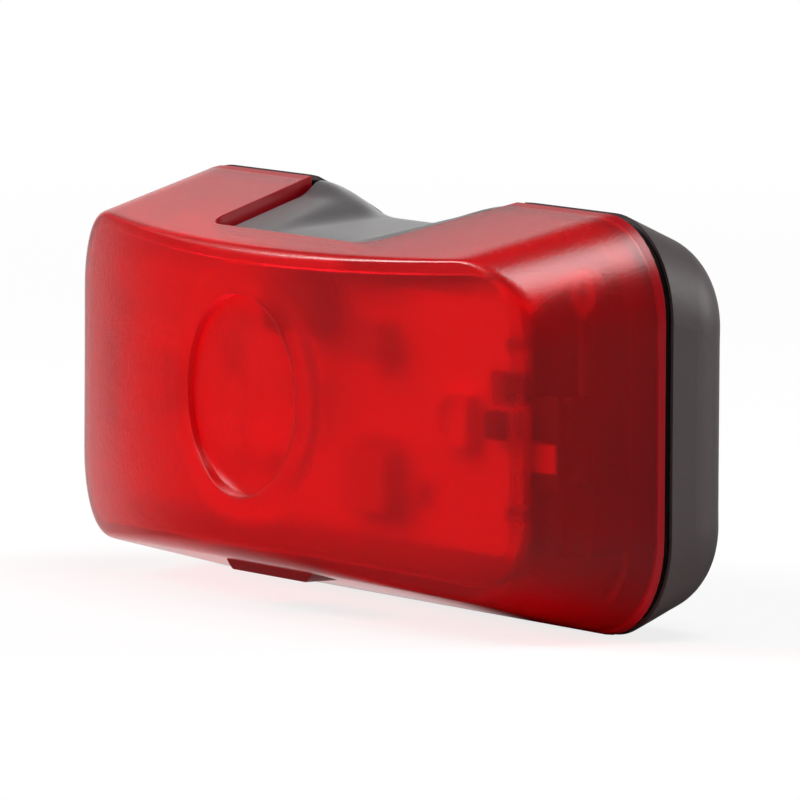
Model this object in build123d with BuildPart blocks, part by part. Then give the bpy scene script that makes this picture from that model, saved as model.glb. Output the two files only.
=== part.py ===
from build123d import *

import os
from math import asin, cos, degrees, radians, sin, tan

# Bicycle tail light, held by a sprung clip on its back. Millimetres.
# The lens looks along -Y, its long side runs along X and +Z is up. The origin is the middle
# of the case's flat back, so the light lies at negative Y and only its clip stands behind it.
# Two cells set the light's length and height, and all that holds them is built round them.
os.makedirs("parts", exist_ok=True)

# Lens, with its corners where it meets the case
corner_radius = 6.6
room_before_board = 5.9
lens_wall = 1.2
side_draft = 16.4
top_draft = 14.3
front_bulge_radius = 92.0
front_corner_radius = 5.2
front_edge_round = 0.8
optic_z = 0.3
dish_radius = 6.65
dish_depth = 0.85
dish_edge_round = 0.2
dish_boss_radius = 8.4
notch_rear_width = 24.8
notch_front_width = 19.4
notch_length = 9.8
notch_corner = 2.2
lip_width = 8.6
lip_root_width = 11.0
lip_bottom_z = -11.35
lip_setback = 2.0

# Case
case_depth = 5.8
seam_gap = 0.55
case_wall = 1.2
bevel_angle = 26.0
end_angle = 2.0
rear_corner_radius = 5.5
rear_edge_round = 3.5
skirt_height = 1.6
skirt_root = 0.6
skirt_wall = 0.6
skirt_clearance = 0.1
gasket_setback = 0.3
gasket_width = 0.75

# Thumb pad
scoop_width = 27.6
scoop_floor_width = 7.4
scoop_depth = 2.15
scoop_low_share = 0.2
scoop_slope = 4.3
scoop_rear_width = 26.9
scoop_rear_flank = 1.65
scoop_rear_depth = 0.42
pad_drop = 0.87
pad_gap = 0.3
pad_tail = 3.4
pad_rim_run = 1.0
pad_underside = 3.15
pad_bend = 4.0
pad_front_thickness = 0.95
pad_travel = 0.4

# Cells
cell_diameter = 10.5
cell_length = 43.5
nub_length = 1.0
nub_diameter = 3.8
cell_edge_round = 0.6
cell_gap = 0.05
cell_seat_gap = 0.1
room_below_cells = 2.3
room_above_cells = 0.5
room_beside_cradle = 2.9

# Board and what stands on it
board_overhang = 0.8
board_height = 16.2
board_thickness = 1.0
board_clearance = 0.1
board_corner = 1.2
board_notch_radius = 0.55
board_notch_z = 5.35
recess_depth = 2.2
recess_height = 2.3
recess_z = 2.55
led_size = 3.5
led_height = 0.9
led_window_radius = 1.4
led_window_depth = 0.25
led_spacing = 17.6
chip_width = 4.9
chip_depth = 3.9
chip_height = 1.3
chip_x = 8.2
chip_z = -4.4
resistor_length = 2.0
resistor_width = 1.25
resistor_height = 0.5
resistor_near_x = 4.2
resistor_far_x = 9.0
resistor_z = 4.0
feed_resistor_x = 12.6
upper_row_z = 4.6
capacitor_x = 8.6
capacitor_size = 2.6
capacitor_height = 1.4
diode_width = 1.3
diode_length = 1.8
diode_height = 0.9

# Switch
switch_width = 6.0
switch_depth = 1.9
switch_height = 3.4
switch_drop = 0.3
plunger_width = 2.4
plunger_depth = 1.0
plunger_reach = 0.85
plunger_hidden = 0.9
plunger_clearance = 0.06
boss_radius = 0.9
boss_gap = 0.05

# Battery contacts
sheet = 0.4
contact_height = 4.8
contact_depth = 6.6
contact_gap = 0.05
tab_height = 1.8
tab_drop = 1.025
tab_length = 6.85
spring_wire = 0.5
spring_half_turns = 5
spring_length = 3.1
spring_base_radius = 2.1
spring_tip_radius = 1.5

# Cradle
end_wall = 0.75
end_wall_height = 15.0
end_wall_front = 9.5
end_wall_rear = 2.0
nose_front = 11.2
nose_height = 2.9
spine_tip_width = 3.0
spine_root_width = 6.0
spine_depth = 1.45
backing_width = 4.0
backing_depth = 5.0
screw_inset = 2.05
screw_drop = 4.9
screw_radius = 0.85
screw_head_radius = 1.45
screw_head_height = 0.8
screw_length = 5.0
screw_slot_depth = 0.4
screw_slot_width = 0.35
screw_clearance = 0.03
ear_radius = 1.6
ear_thickness = 1.4
ear_y = -6.8

# Clip on the back
clip_width = 14.0
clip_gap = 4.6
clip_sheet = 1.4
clip_top_z = 10.2
clip_bottom_z = -9.2
clip_corner = 2.5
grip_groove_pitch = 1.1
grip_groove_radius = 0.3
pin_z = 5.6
pin_y = 2.3
pin_radius = 1.0
pin_clearance = 0.05
pin_press_clearance = 0.02
lug_thickness = 1.5
lug_inner_x = 3.6
lug_radius = 1.8
lug_side_gap = 0.2
flange_thickness = 1.3
flange_radius = 2.0
jaw_gap = 0.3
jaw_height = 2.0
grip_thickness = 0.9
grip_height = 2.0
grip_width = 12.0
clip_spring_wire = 0.6
clip_spring_pitch = 1.1
clip_spring_half_turns = 9
clip_spring_leg = 2.7
clip_spring_seat = 0.05

# Places that follow from the sizes above. Along X the stack is cells, springs and contacts,
# cradle and room beside it, and along Z it is room, cells and the pad over them.
margin = 1.0
cell_end_x = (cell_length + nub_length) / 2
near_x = cell_end_x + contact_gap
far_x = cell_end_x + spring_length + 2 * contact_gap
wall_x = far_x + sheet + contact_gap
half_width = wall_x + end_wall + room_beside_cradle
light_width = 2 * half_width
light_height = room_below_cells + 2 * cell_diameter + cell_gap + room_above_cells + pad_underside
half_height = light_height / 2
seam_y = -case_depth
case_front_y = seam_y + seam_gap
side_slope = tan(radians(side_draft))
top_slope = tan(radians(top_draft))
bevel_slope = tan(radians(bevel_angle))
end_slope = tan(radians(end_angle))
cell_radius = cell_diameter / 2
cell_y = -case_wall - cell_seat_gap - cell_radius
lower_cell_z = -half_height + room_below_cells + cell_radius
upper_cell_z = lower_cell_z + cell_diameter + cell_gap
valley_z = (upper_cell_z + lower_cell_z) / 2
board_rear_y = cell_y - cell_radius - board_clearance
board_front_y = board_rear_y - board_thickness
front_y = board_front_y - room_before_board
board_end_x = cell_end_x + board_overhang
screw_x = wall_x + end_wall - screw_inset
screw_z = half_height - screw_drop
tab_z = valley_z - tab_drop
tab_inner_x = far_x + sheet - tab_length
print("light", round(light_width, 2), "by", round(light_height, 2), "mm at the seam")
print("cell axis y", round(cell_y, 3), "board front y", round(board_front_y, 3))
print("front y", round(front_y, 3))


def save(piece, name):
    """Label a finished piece and write it under its own name."""
    piece.label = name
    export_step(piece, f"parts/{name}.step")
    print(name, len(piece.solids()), "solids", round(piece.volume, 2), "mm3")


def facing_front(y):
    """Sketch plane that looks forward from depth y, with X and Z as they are."""
    return Plane.XZ.offset(-y)


def across(x):
    """Sketch plane at x whose own axes are Y and Z."""
    return Plane.YZ.offset(x)


def top_edge_z(y):
    """Height of the lens's top face above depth y."""
    return half_height + (y - seam_y) * top_slope


def bevel_z(y):
    """Height of the case's leaning top face above depth y."""
    return half_height - (y - case_front_y) * bevel_slope


def lens_form(inset, rear_y):
    """Lens block with leaning sides and a bulged front, drawn in by inset."""
    stations = ((rear_y, corner_radius), (front_y - margin, front_corner_radius))
    with BuildPart() as block:
        for y, corner in stations:
            with BuildSketch(facing_front(y)):
                RectangleRounded(
                    light_width + 2 * (y - seam_y) * side_slope - 2 * inset,
                    light_height + 2 * (y - seam_y) * top_slope - 2 * inset,
                    corner - inset,
                )
        loft(ruled=True)
        with BuildSketch(Plane.XY.offset(-light_height)):
            with Locations((0, front_y + front_bulge_radius)):
                Circle(front_bulge_radius - inset)
        extrude(amount=2 * light_height, mode=Mode.INTERSECT)
    return block.part


def case_form(inset, start_y):
    """Case block from start_y back: leaning sides, top and bottom, and rounded rear edges."""
    rear_y = -inset
    end_lean = inset / cos(radians(end_angle))
    bevel_lean = inset / cos(radians(bevel_angle))
    with BuildPart() as block:
        for y in (start_y, rear_y):
            way_back = 1 - y / case_front_y
            with BuildSketch(facing_front(y)):
                RectangleRounded(
                    light_width - 2 * (y - case_front_y) * end_slope - 2 * end_lean,
                    2 * bevel_z(y) - 2 * bevel_lean,
                    corner_radius + way_back * (rear_corner_radius - corner_radius) - inset,
                )
        loft(ruled=True)
        fillet(block.faces().sort_by(Axis.Y)[-1].edges(), rear_edge_round - inset)
    return block.part


def scoop_form():
    """What the scoop takes away: it rises to the seam, then falls and widens over the case."""
    front_start = front_y - margin
    seam_floor = half_height - scoop_depth
    front_floor = seam_floor + (front_start - case_front_y) * tan(radians(scoop_slope))
    rear_floor = bevel_z(0) - scoop_rear_depth
    rear_floor_width = scoop_rear_width - 2 * scoop_rear_flank
    stations = (
        (front_start, scoop_width, scoop_floor_width, front_floor, scoop_depth),
        (case_front_y, scoop_width, scoop_floor_width, seam_floor, scoop_depth),
        (0, scoop_rear_width, rear_floor_width, rear_floor, scoop_rear_depth),
    )
    with BuildPart() as trough:
        for y, width, floor_width, floor, depth in stations:
            run = (width - floor_width) / 2
            radius_sum = (run**2 + depth**2) / (2 * depth)
            low_radius = radius_sum * scoop_low_share
            high_radius = radius_sum - low_radius
            turn = degrees(asin(run / radius_sum))
            shoulder = floor + depth
            with BuildSketch(facing_front(y)):
                with BuildLine():
                    Line((0, floor), (floor_width / 2, floor))
                    CenterArc((floor_width / 2, floor + low_radius), low_radius, -90, turn)
                    CenterArc((width / 2, shoulder - high_radius), high_radius, 90 + turn, -turn)
                    Polyline(
                        (width / 2, shoulder),
                        (width, shoulder + scoop_depth),
                        (width, light_height),
                        (0, light_height),
                    )
                    mirror(about=Plane.YZ)
                make_face()
        loft(ruled=True)
    return trough.part


def notch_outline(gap, tail_y):
    """Plan of the lens's notch, drawn in by gap, with its straight tail back to tail_y."""
    front = seam_y - notch_length + gap
    rear_half = notch_rear_width / 2 - gap
    front_half = notch_front_width / 2 - gap
    with BuildSketch(Plane.XY) as outline:
        with BuildLine():
            Polyline(
                (-front_half, front),
                (front_half, front),
                (rear_half, seam_y),
                (rear_half, tail_y),
                (-rear_half, tail_y),
                (-rear_half, seam_y),
                close=True,
            )
        make_face()
        fillet(outline.vertices().group_by(Axis.Y)[0], notch_corner - gap)
    return outline.sketch


def coil_tube(start, radii, pitch, wire, leg):
    """Wire wound about X in half turns, from start, with straight ends of length leg."""
    x, y, z = start
    ends = [
        Vector(x + turn * pitch / 2, y + (radius if turn % 2 else -radius), z)
        for turn, radius in enumerate(radii)
    ]
    with BuildPart() as tube:
        with BuildLine() as path:
            if leg:
                Line(ends[0] + Vector(0, 0, leg), ends[0])
            for turn, (first, last) in enumerate(zip(ends, ends[1:])):
                side = 1 if turn % 2 else -1
                reach = (last - first).length / 2
                ThreePointArc(first, (first + last) / 2 + Vector(0, 0, side * reach), last)
            if leg:
                up = 1 if len(radii) % 2 == 0 else -1
                Line(ends[-1], ends[-1] + Vector(0, 0, up * leg))
        with BuildSketch(Plane(origin=ends[0] + Vector(0, 0, leg), z_dir=(0, 0, -1))):
            Circle(wire / 2)
        sweep(path=path.wire())
    print("least gap between turns", round(pitch - wire, 2), "mm")
    return tube.part


# Lens: one red moulding. Its front is a wide cylinder about a vertical axis.
lens_hollow = lens_form(lens_wall, seam_y + margin)
dish_floor_y = front_y + dish_depth
lip_front_y = front_y + lip_setback
lip_rear_y = seam_y - (half_height + lip_bottom_z) / top_slope
lip_root_z = -top_edge_z(lip_front_y) + lens_wall / 3
with BuildPart() as lens:
    add(lens_form(0, seam_y))
    front_loop = lens.edges().filter_by(lambda e: max(v.Y for v in e.vertices()) < seam_y - margin)
    fillet(front_loop, front_edge_round)
    add(lens_hollow, mode=Mode.SUBTRACT)
    with BuildSketch(facing_front(dish_floor_y + lens_wall)):
        with Locations((0, optic_z)):
            Circle(dish_boss_radius)
    extrude(amount=dish_depth + lens_wall / 4)
    with BuildSketch(facing_front(dish_floor_y)):
        with Locations((0, optic_z)):
            Circle(dish_radius)
    extrude(amount=dish_depth + margin, mode=Mode.SUBTRACT)
    round_edges = lens.edges().filter_by(GeomType.CIRCLE)
    fillet(round_edges.filter_by(lambda e: abs(e.radius - dish_radius) < 0.01), dish_edge_round)
    with BuildSketch(facing_front(lip_rear_y)):
        with BuildLine():
            Polyline(
                (-lip_width / 2, lip_bottom_z),
                (lip_width / 2, lip_bottom_z),
                (lip_root_width / 2, lip_root_z),
                (-lip_root_width / 2, lip_root_z),
                close=True,
            )
        make_face()
    extrude(amount=lip_rear_y - lip_front_y)
    with BuildSketch(Plane.XY.offset(half_height * 2 / 3)):
        add(notch_outline(0, seam_y + margin))
    extrude(amount=half_height, mode=Mode.SUBTRACT)
save(lens.part, "lens")

# Case: a shallow tray with a skirt that enters the lens, screw bosses and clip lugs
skirt_inset = lens_wall + skirt_clearance
pad_tail_y = seam_y + pad_tail
pad_floor_z = half_height - pad_underside
lug_centre_x = lug_inner_x + lug_thickness / 2
boss_height = -ear_y - case_wall
skirt_outer = lens_form(skirt_inset, case_front_y + skirt_root)
skirt_inner = lens_form(skirt_inset + skirt_wall, case_front_y + 2 * margin)
with BuildPart() as skirt:
    add(skirt_outer)
    add(skirt_inner, mode=Mode.SUBTRACT)
    split(bisect_by=facing_front(seam_y - skirt_height), keep=Keep.BOTTOM)
with BuildPart() as rear_case:
    add(case_form(0, case_front_y))
    add(case_form(case_wall, case_front_y - margin), mode=Mode.SUBTRACT)
    add(skirt.part)
    with BuildSketch(facing_front(-case_wall / 2)):
        with Locations((screw_x, screw_z), (-screw_x, screw_z)):
            Circle(ear_radius)
    extrude(amount=boss_height + case_wall / 2)
    with BuildSketch(facing_front(ear_y)):
        with Locations((screw_x, screw_z), (-screw_x, screw_z)):
            Circle(screw_radius + screw_clearance)
    extrude(amount=-(screw_length - ear_thickness + screw_clearance), mode=Mode.SUBTRACT)
    with BuildSketch(Plane.XY.offset(pad_floor_z - 2 * pad_travel)):
        add(notch_outline(0, pad_tail_y + pad_gap))
    extrude(amount=half_height, mode=Mode.SUBTRACT)
    add(scoop_form(), mode=Mode.SUBTRACT)
    for side in (-1, 1):
        with BuildSketch(across(side * lug_centre_x)):
            with Locations((pin_y, pin_z)):
                Circle(lug_radius)
            with Locations((pin_y / 2 - case_wall / 4, pin_z)):
                Rectangle(pin_y + case_wall / 2, 2 * lug_radius)
        extrude(amount=lug_thickness / 2, both=True)
    with BuildSketch(across(0)):
        with Locations((pin_y, pin_z)):
            Circle(pin_radius + pin_clearance)
    extrude(amount=half_width, both=True, mode=Mode.SUBTRACT)
save(rear_case.part, "rear_case")

# Gasket: a black ring in the seam, open where the pad passes
with BuildPart() as seal_gasket:
    with BuildSketch(facing_front(case_front_y)):
        for inset, mode in ((gasket_setback, Mode.ADD), (gasket_setback + gasket_width, Mode.SUBTRACT)):
            RectangleRounded(
                light_width - 2 * inset, light_height - 2 * inset, corner_radius - inset, mode=mode
            )
        with Locations((0, half_height)):
            Rectangle(notch_rear_width, light_height / 2, mode=Mode.SUBTRACT)
    extrude(amount=seam_gap)
save(seal_gasket.part, "seal_gasket")

# Thumb pad: follows the lens's top a step lower, runs back over the case, scooped along Y
pad_front_y = seam_y - notch_length + pad_gap
pad_rim_y = seam_y - pad_rim_run
pad_bend_y = seam_y - pad_bend
pad_front_top = top_edge_z(pad_front_y) - pad_drop
switch_top_z = board_height / 2 - switch_drop
plunger_top_z = switch_top_z + plunger_reach
plunger_y = board_front_y - switch_depth / 2
with BuildPart() as push_pad:
    with BuildSketch(across(0)):
        with BuildLine():
            Polyline(
                (pad_tail_y, pad_floor_z),
                (pad_tail_y, bevel_z(pad_tail_y)),
                (case_front_y, half_height),
                (pad_rim_y, top_edge_z(pad_rim_y) - pad_drop),
                (pad_front_y, pad_front_top),
                (pad_front_y, pad_front_top - pad_front_thickness),
                (pad_bend_y, pad_floor_z),
                close=True,
            )
        make_face()
    extrude(amount=half_width, both=True)
    with BuildSketch(Plane.XY):
        add(notch_outline(pad_gap, pad_tail_y))
    extrude(amount=light_height, mode=Mode.INTERSECT)
    add(scoop_form(), mode=Mode.SUBTRACT)
    with BuildSketch(Plane.XY.offset(plunger_top_z + boss_gap)):
        with Locations((0, plunger_y)):
            Circle(boss_radius)
    extrude(amount=pad_floor_z - plunger_top_z - boss_gap - pad_travel)
save(push_pad.part, "push_pad")

# Cells: steel cans with a raised nub at the plus end
for name, z, plus in (("cell_upper", upper_cell_z, -1), ("cell_lower", lower_cell_z, 1)):
    with BuildPart() as cell:
        with BuildSketch(across(-plus * cell_end_x)):
            with Locations((cell_y, z)):
                Circle(cell_radius)
        extrude(amount=plus * cell_length)
        fillet(cell.edges().filter_by(GeomType.CIRCLE), cell_edge_round)
        with BuildSketch(across(plus * (cell_end_x - nub_length))):
            with Locations((cell_y, z)):
                Circle(nub_diameter / 2)
        extrude(amount=plus * nub_length)
    save(cell.part, name)

# Board: white plate with notched right edge
with BuildPart() as circuit_board:
    with BuildSketch(facing_front(board_rear_y)):
        RectangleRounded(2 * board_end_x, board_height, board_corner)
        with Locations((board_end_x, board_notch_z), (board_end_x, -board_notch_z)):
            Circle(board_notch_radius, mode=Mode.SUBTRACT)
        with Locations((board_end_x, recess_z)):
            Rectangle(2 * recess_depth, recess_height, mode=Mode.SUBTRACT)
        with Locations((-board_end_x, upper_cell_z)):
            Rectangle(2 * board_overhang, tab_height + 4 * contact_gap, mode=Mode.SUBTRACT)
    extrude(amount=board_thickness)
save(circuit_board.part, "circuit_board")

# Three LEDs in a row, each a square package with a round window
for name, x in (("led_left", -led_spacing), ("led_centre", 0), ("led_right", led_spacing)):
    with BuildPart() as led:
        with BuildSketch(facing_front(board_front_y)):
            with Locations((x, optic_z)):
                RectangleRounded(led_size, led_size, led_size / 12)
        extrude(amount=led_height)
        with BuildSketch(facing_front(board_front_y - led_height)):
            with Locations((x, optic_z)):
                Circle(led_window_radius)
        extrude(amount=-led_window_depth, mode=Mode.SUBTRACT)
    save(led.part, name)

# Chip with its two rows of feet
with BuildPart() as driver_chip:
    with BuildSketch(facing_front(board_front_y - resistor_height / 4)):
        with Locations((chip_x, chip_z)):
            Rectangle(chip_width, chip_depth)
    extrude(amount=chip_height)
    with BuildSketch(facing_front(board_front_y)):
        with Locations((chip_x, chip_z)):
            with GridLocations(chip_width / 4, chip_depth + resistor_height, 4, 2):
                Rectangle(sheet, 2 * resistor_height)
    extrude(amount=resistor_height)
save(driver_chip.part, "driver_chip")

# Resistors, capacitor and diode: small blocks on the board's front
resistor_places = (
    (-resistor_near_x, -resistor_z),
    (-resistor_far_x, -resistor_z),
    (feed_resistor_x, -upper_row_z),
    (-resistor_far_x, upper_row_z),
)
with BuildPart() as resistors:
    with BuildSketch(facing_front(board_front_y)):
        with Locations(*resistor_places):
            Rectangle(resistor_length, resistor_width)
    extrude(amount=resistor_height)
save(resistors.part, "resistors")

with BuildPart() as capacitor:
    with BuildSketch(facing_front(board_front_y)):
        with Locations((capacitor_x, upper_row_z)):
            RectangleRounded(capacitor_size, capacitor_size, capacitor_size / 8)
    extrude(amount=capacitor_height)
save(capacitor.part, "capacitor")

with BuildPart() as edge_diode:
    with BuildSketch(facing_front(board_front_y)):
        with Locations((board_end_x - diode_width / 2 - board_notch_radius / 2, optic_z)):
            Rectangle(diode_width, diode_length)
    extrude(amount=diode_height)
save(edge_diode.part, "edge_diode")

# Switch: lies on the board's front under the pad, its plunger points up
switch_z = switch_top_z - switch_height / 2
plunger_pocket = plunger_hidden + pad_travel + plunger_clearance
with BuildPart() as switch_body:
    with BuildSketch(facing_front(board_front_y)):
        with Locations((0, switch_z)):
            Rectangle(switch_width, switch_height)
    extrude(amount=switch_depth)
    with BuildSketch(Plane.XY.offset(switch_top_z)):
        with Locations((0, plunger_y)):
            Rectangle(plunger_width + 2 * plunger_clearance, plunger_depth + 2 * plunger_clearance)
    extrude(amount=-plunger_pocket, mode=Mode.SUBTRACT)
save(switch_body.part, "switch_body")

with BuildPart() as switch_plunger:
    with BuildSketch(Plane.XY.offset(switch_top_z - plunger_hidden)):
        with Locations((0, plunger_y)):
            Rectangle(plunger_width, plunger_depth)
    extrude(amount=plunger_hidden + plunger_reach)
save(switch_plunger.part, "switch_plunger")

# Battery contacts: bent sheet. The flat ones meet the nubs, the far ones carry springs.
tab_rear_y = board_rear_y + sheet


def sheet_plate(x, low_z, high_z, low_y, high_y):
    """Upright sheet whose inner face is at x, as a box from corner to corner."""
    side = 1 if x > 0 else -1
    with Locations((x + side * sheet / 2, (low_y + high_y) / 2, (low_z + high_z) / 2)):
        Box(sheet, high_y - low_y, high_z - low_z)


def solder_tab(side):
    """Strip from a far plate forward and inward, flat behind the board."""
    plate_x = side * far_x
    sheet_plate(plate_x, tab_z - tab_height / 2, tab_z + tab_height / 2, tab_rear_y - sheet, cell_y)
    with Locations((side * (far_x + sheet + tab_inner_x) / 2, tab_rear_y - sheet / 2, tab_z)):
        Box(far_x + sheet - tab_inner_x, sheet, tab_height)


low_y = cell_y - contact_depth / 2
high_y = cell_y + contact_depth / 2
half_contact = contact_height / 2
with BuildPart() as contact_plus:
    sheet_plate(-near_x, upper_cell_z - half_contact, upper_cell_z + half_contact, low_y, high_y)
    tip_y = board_front_y - sheet
    sheet_plate(-near_x, upper_cell_z - tab_height / 2, upper_cell_z + tab_height / 2, tip_y, low_y)
save(contact_plus.part, "contact_plus")

with BuildPart() as contact_minus:
    sheet_plate(-far_x, lower_cell_z - half_contact, tab_z + tab_height / 2, low_y, high_y)
    solder_tab(-1)
save(contact_minus.part, "contact_minus")

with BuildPart() as contact_link:
    sheet_plate(far_x, valley_z, upper_cell_z + half_contact, low_y, high_y)
    sheet_plate(near_x, lower_cell_z - half_contact, valley_z, low_y, high_y)
    with Locations(((near_x + far_x + sheet) / 2, cell_y, valley_z)):
        Box(far_x + sheet - near_x, contact_depth, sheet)
    solder_tab(1)
save(contact_link.part, "contact_link")

# Springs under the minus ends: cones of round wire, the wide end on the plate
steps = range(spring_half_turns + 1)
taper = (spring_base_radius - spring_tip_radius) / spring_half_turns
spring_pitch = 2 * (spring_length - spring_wire) / spring_half_turns
upper_start = (cell_end_x + contact_gap + spring_wire / 2, cell_y, upper_cell_z)
upper_radii = [spring_tip_radius + taper * step for step in steps]
save(coil_tube(upper_start, upper_radii, spring_pitch, spring_wire, 0), "spring_upper")
lower_start = (-far_x + contact_gap + spring_wire / 2, cell_y, lower_cell_z)
lower_radii = [spring_base_radius - taper * step for step in steps]
save(coil_tube(lower_start, lower_radii, spring_pitch, spring_wire, 0), "spring_lower")

# Cradle: two end walls joined by spines that lie in the valleys between the cells
backing_x = near_x + sheet + contact_gap
link_z = upper_cell_z + half_contact + contact_gap
nose_y = -(nose_front + end_wall_front) / 2
with BuildPart() as battery_cradle:
    for side in (-1, 1):
        with Locations((side * (wall_x + end_wall / 2), -(end_wall_front + end_wall_rear) / 2, 0)):
            Box(end_wall, end_wall_front - end_wall_rear, end_wall_height)
        with BuildSketch(facing_front(ear_y)):
            with Locations((side * screw_x, screw_z)):
                Circle(ear_radius)
            with Locations((side * (screw_x + wall_x + end_wall) / 2, (link_z + screw_z) / 2)):
                Rectangle(wall_x + end_wall - screw_x, screw_z - link_z)
            with Locations((side * screw_x, screw_z)):
                Circle(screw_radius + screw_clearance, mode=Mode.SUBTRACT)
        extrude(amount=ear_thickness)
        with Locations((side * (wall_x + end_wall / 2), nose_y, valley_z + nose_height / 2)):
            Box(end_wall, nose_front - end_wall_front, nose_height)
    for side, z in ((-1, upper_cell_z), (1, lower_cell_z)):
        with Locations((side * (backing_x + wall_x) / 2, cell_y, z)):
            Box(wall_x - backing_x, backing_depth, backing_width)
    for facing in (-1, 1):
        root_y = cell_y + facing * cell_radius
        with BuildSketch(across(0)):
            with BuildLine():
                Polyline(
                    (root_y, valley_z - spine_root_width / 2),
                    (root_y, valley_z + spine_root_width / 2),
                    (root_y - facing * spine_depth, valley_z + spine_tip_width / 2),
                    (root_y - facing * spine_depth, valley_z - spine_tip_width / 2),
                    close=True,
                )
            make_face()
        extrude(amount=wall_x + end_wall / 4, both=True)
    slot_height = tab_height + 2 * contact_gap
    for side in (-1, 1):
        with Locations((side * (tab_inner_x + wall_x) / 2, board_rear_y + sheet, tab_z)):
            Box(wall_x - tab_inner_x + 2 * contact_gap, 2 * sheet, slot_height, mode=Mode.SUBTRACT)
        with Locations((side * (far_x + wall_x) / 2, board_rear_y + spine_depth / 2, tab_z)):
            Box(wall_x - far_x + contact_gap, spine_depth + 2 * sheet, slot_height, mode=Mode.SUBTRACT)
save(battery_cradle.part, "battery_cradle")

# Screws that hold the cradle on the case's bosses
head_y = ear_y - ear_thickness
with BuildPart() as cradle_screws:
    with BuildSketch(facing_front(head_y)):
        with Locations((screw_x, screw_z), (-screw_x, screw_z)):
            Circle(screw_head_radius)
    extrude(amount=screw_head_height)
    with BuildSketch(facing_front(head_y)):
        with Locations((screw_x, screw_z), (-screw_x, screw_z)):
            Circle(screw_radius)
    extrude(amount=-screw_length)
    with BuildSketch(facing_front(head_y - screw_head_height)):
        for side in (-1, 1):
            with Locations((side * screw_x, screw_z)):
                Rectangle(screw_head_radius, screw_slot_width)
                Rectangle(screw_slot_width, screw_head_radius)
    extrude(amount=-screw_slot_depth, mode=Mode.SUBTRACT)
save(cradle_screws.part, "cradle_screws")

# Clip: a plate hinged on the lugs, thumb end above, jaw below
flange_inner_x = lug_inner_x + lug_thickness + lug_side_gap
clip_middle_z = (clip_top_z + clip_bottom_z) / 2
jaw_tip_y = grip_thickness + jaw_gap
with BuildPart() as clip_lever:
    with BuildSketch(facing_front(clip_gap)):
        with Locations((0, clip_middle_z)):
            RectangleRounded(clip_width, clip_top_z - clip_bottom_z, clip_corner)
    extrude(amount=-clip_sheet)
    for side in (-1, 1):
        with BuildSketch(across(side * (flange_inner_x + flange_thickness / 2))):
            with Locations((pin_y, pin_z)):
                Circle(flange_radius)
            with Locations(((pin_y + clip_gap + clip_sheet / 2) / 2, pin_z)):
                Rectangle(clip_gap + clip_sheet / 2 - pin_y, 2 * flange_radius)
        extrude(amount=flange_thickness / 2, both=True)
    with BuildSketch(across(0)):
        with Locations((pin_y, pin_z)):
            Circle(pin_radius + pin_press_clearance)
    extrude(amount=clip_width, both=True, mode=Mode.SUBTRACT)
    with BuildSketch(facing_front(clip_gap + clip_sheet / 2)):
        with Locations((0, clip_bottom_z + jaw_height / 2 + clip_corner / 4)):
            Rectangle(clip_width - 2 * clip_corner, jaw_height)
    extrude(amount=clip_gap + clip_sheet / 2 - jaw_tip_y)
    with BuildSketch(across(0)):
        for groove in range(4):
            with Locations((clip_gap + clip_sheet, clip_top_z - margin - groove * grip_groove_pitch)):
                Circle(grip_groove_radius)
    extrude(amount=clip_width, both=True, mode=Mode.SUBTRACT)
save(clip_lever.part, "clip_lever")

with BuildPart() as clip_pin:
    with BuildSketch(across(0)):
        with Locations((pin_y, pin_z)):
            Circle(pin_radius)
    extrude(amount=flange_inner_x + flange_thickness, both=True)
save(clip_pin.part, "clip_pin")

# Clip spring: wound round the pin, one leg on the case's back and one on the clip
clip_spring_radius = pin_y - clip_spring_wire / 2 - clip_spring_seat
clip_spring_start_x = -clip_spring_half_turns * clip_spring_pitch / 4
clip_spring = coil_tube(
    (clip_spring_start_x, pin_y, pin_z),
    [clip_spring_radius] * (clip_spring_half_turns + 1),
    clip_spring_pitch,
    clip_spring_wire,
    clip_spring_leg,
)
save(clip_spring, "clip_spring")

# Rubber strip that the jaw closes on
with BuildPart() as grip_pad:
    with BuildSketch(facing_front(0)):
        with Locations((0, clip_bottom_z + jaw_height / 2 + clip_corner / 4)):
            RectangleRounded(grip_width, grip_height, grip_height / 4)
    extrude(amount=-grip_thickness)
save(grip_pad.part, "grip_pad")
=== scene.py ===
# %% [markdown]
# # A bicycle tail light
#
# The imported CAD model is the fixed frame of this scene: it gives every piece its size and its place, in
# metres. This file gives the pieces their looks. The lens and the thumb pad are built again as smooth
# meshes, because their edges are soft and light runs through the lens, and the other CAD pieces get
# procedural finishes.

# %% Load the frame
from math import atan2, cos, hypot, pi, radians, sin, sqrt, tan

import bmesh
import bpy
from mathutils import Matrix, Vector


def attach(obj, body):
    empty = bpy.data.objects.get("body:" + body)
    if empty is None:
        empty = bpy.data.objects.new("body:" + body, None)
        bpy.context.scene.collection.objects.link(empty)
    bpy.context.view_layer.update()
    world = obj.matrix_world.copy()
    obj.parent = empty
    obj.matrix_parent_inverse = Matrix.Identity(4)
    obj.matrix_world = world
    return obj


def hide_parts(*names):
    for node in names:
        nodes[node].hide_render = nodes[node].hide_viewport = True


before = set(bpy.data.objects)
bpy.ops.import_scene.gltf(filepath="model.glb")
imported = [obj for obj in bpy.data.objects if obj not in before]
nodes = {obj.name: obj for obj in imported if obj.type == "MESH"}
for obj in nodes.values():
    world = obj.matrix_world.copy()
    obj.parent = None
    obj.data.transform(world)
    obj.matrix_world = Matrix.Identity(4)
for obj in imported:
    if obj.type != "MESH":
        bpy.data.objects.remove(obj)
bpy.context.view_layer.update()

MM = 0.001

# %% [markdown]
# ## Camera
#
# The photograph was taken from the light's right front, a little above it, with a long lens. Azimuth,
# elevation, roll and distance come from fitting the seam outline, the notch and the dish to the picture.
# The light isn't in the middle of the frame, and a small lens shift puts it where it is without turning the
# camera.

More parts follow.
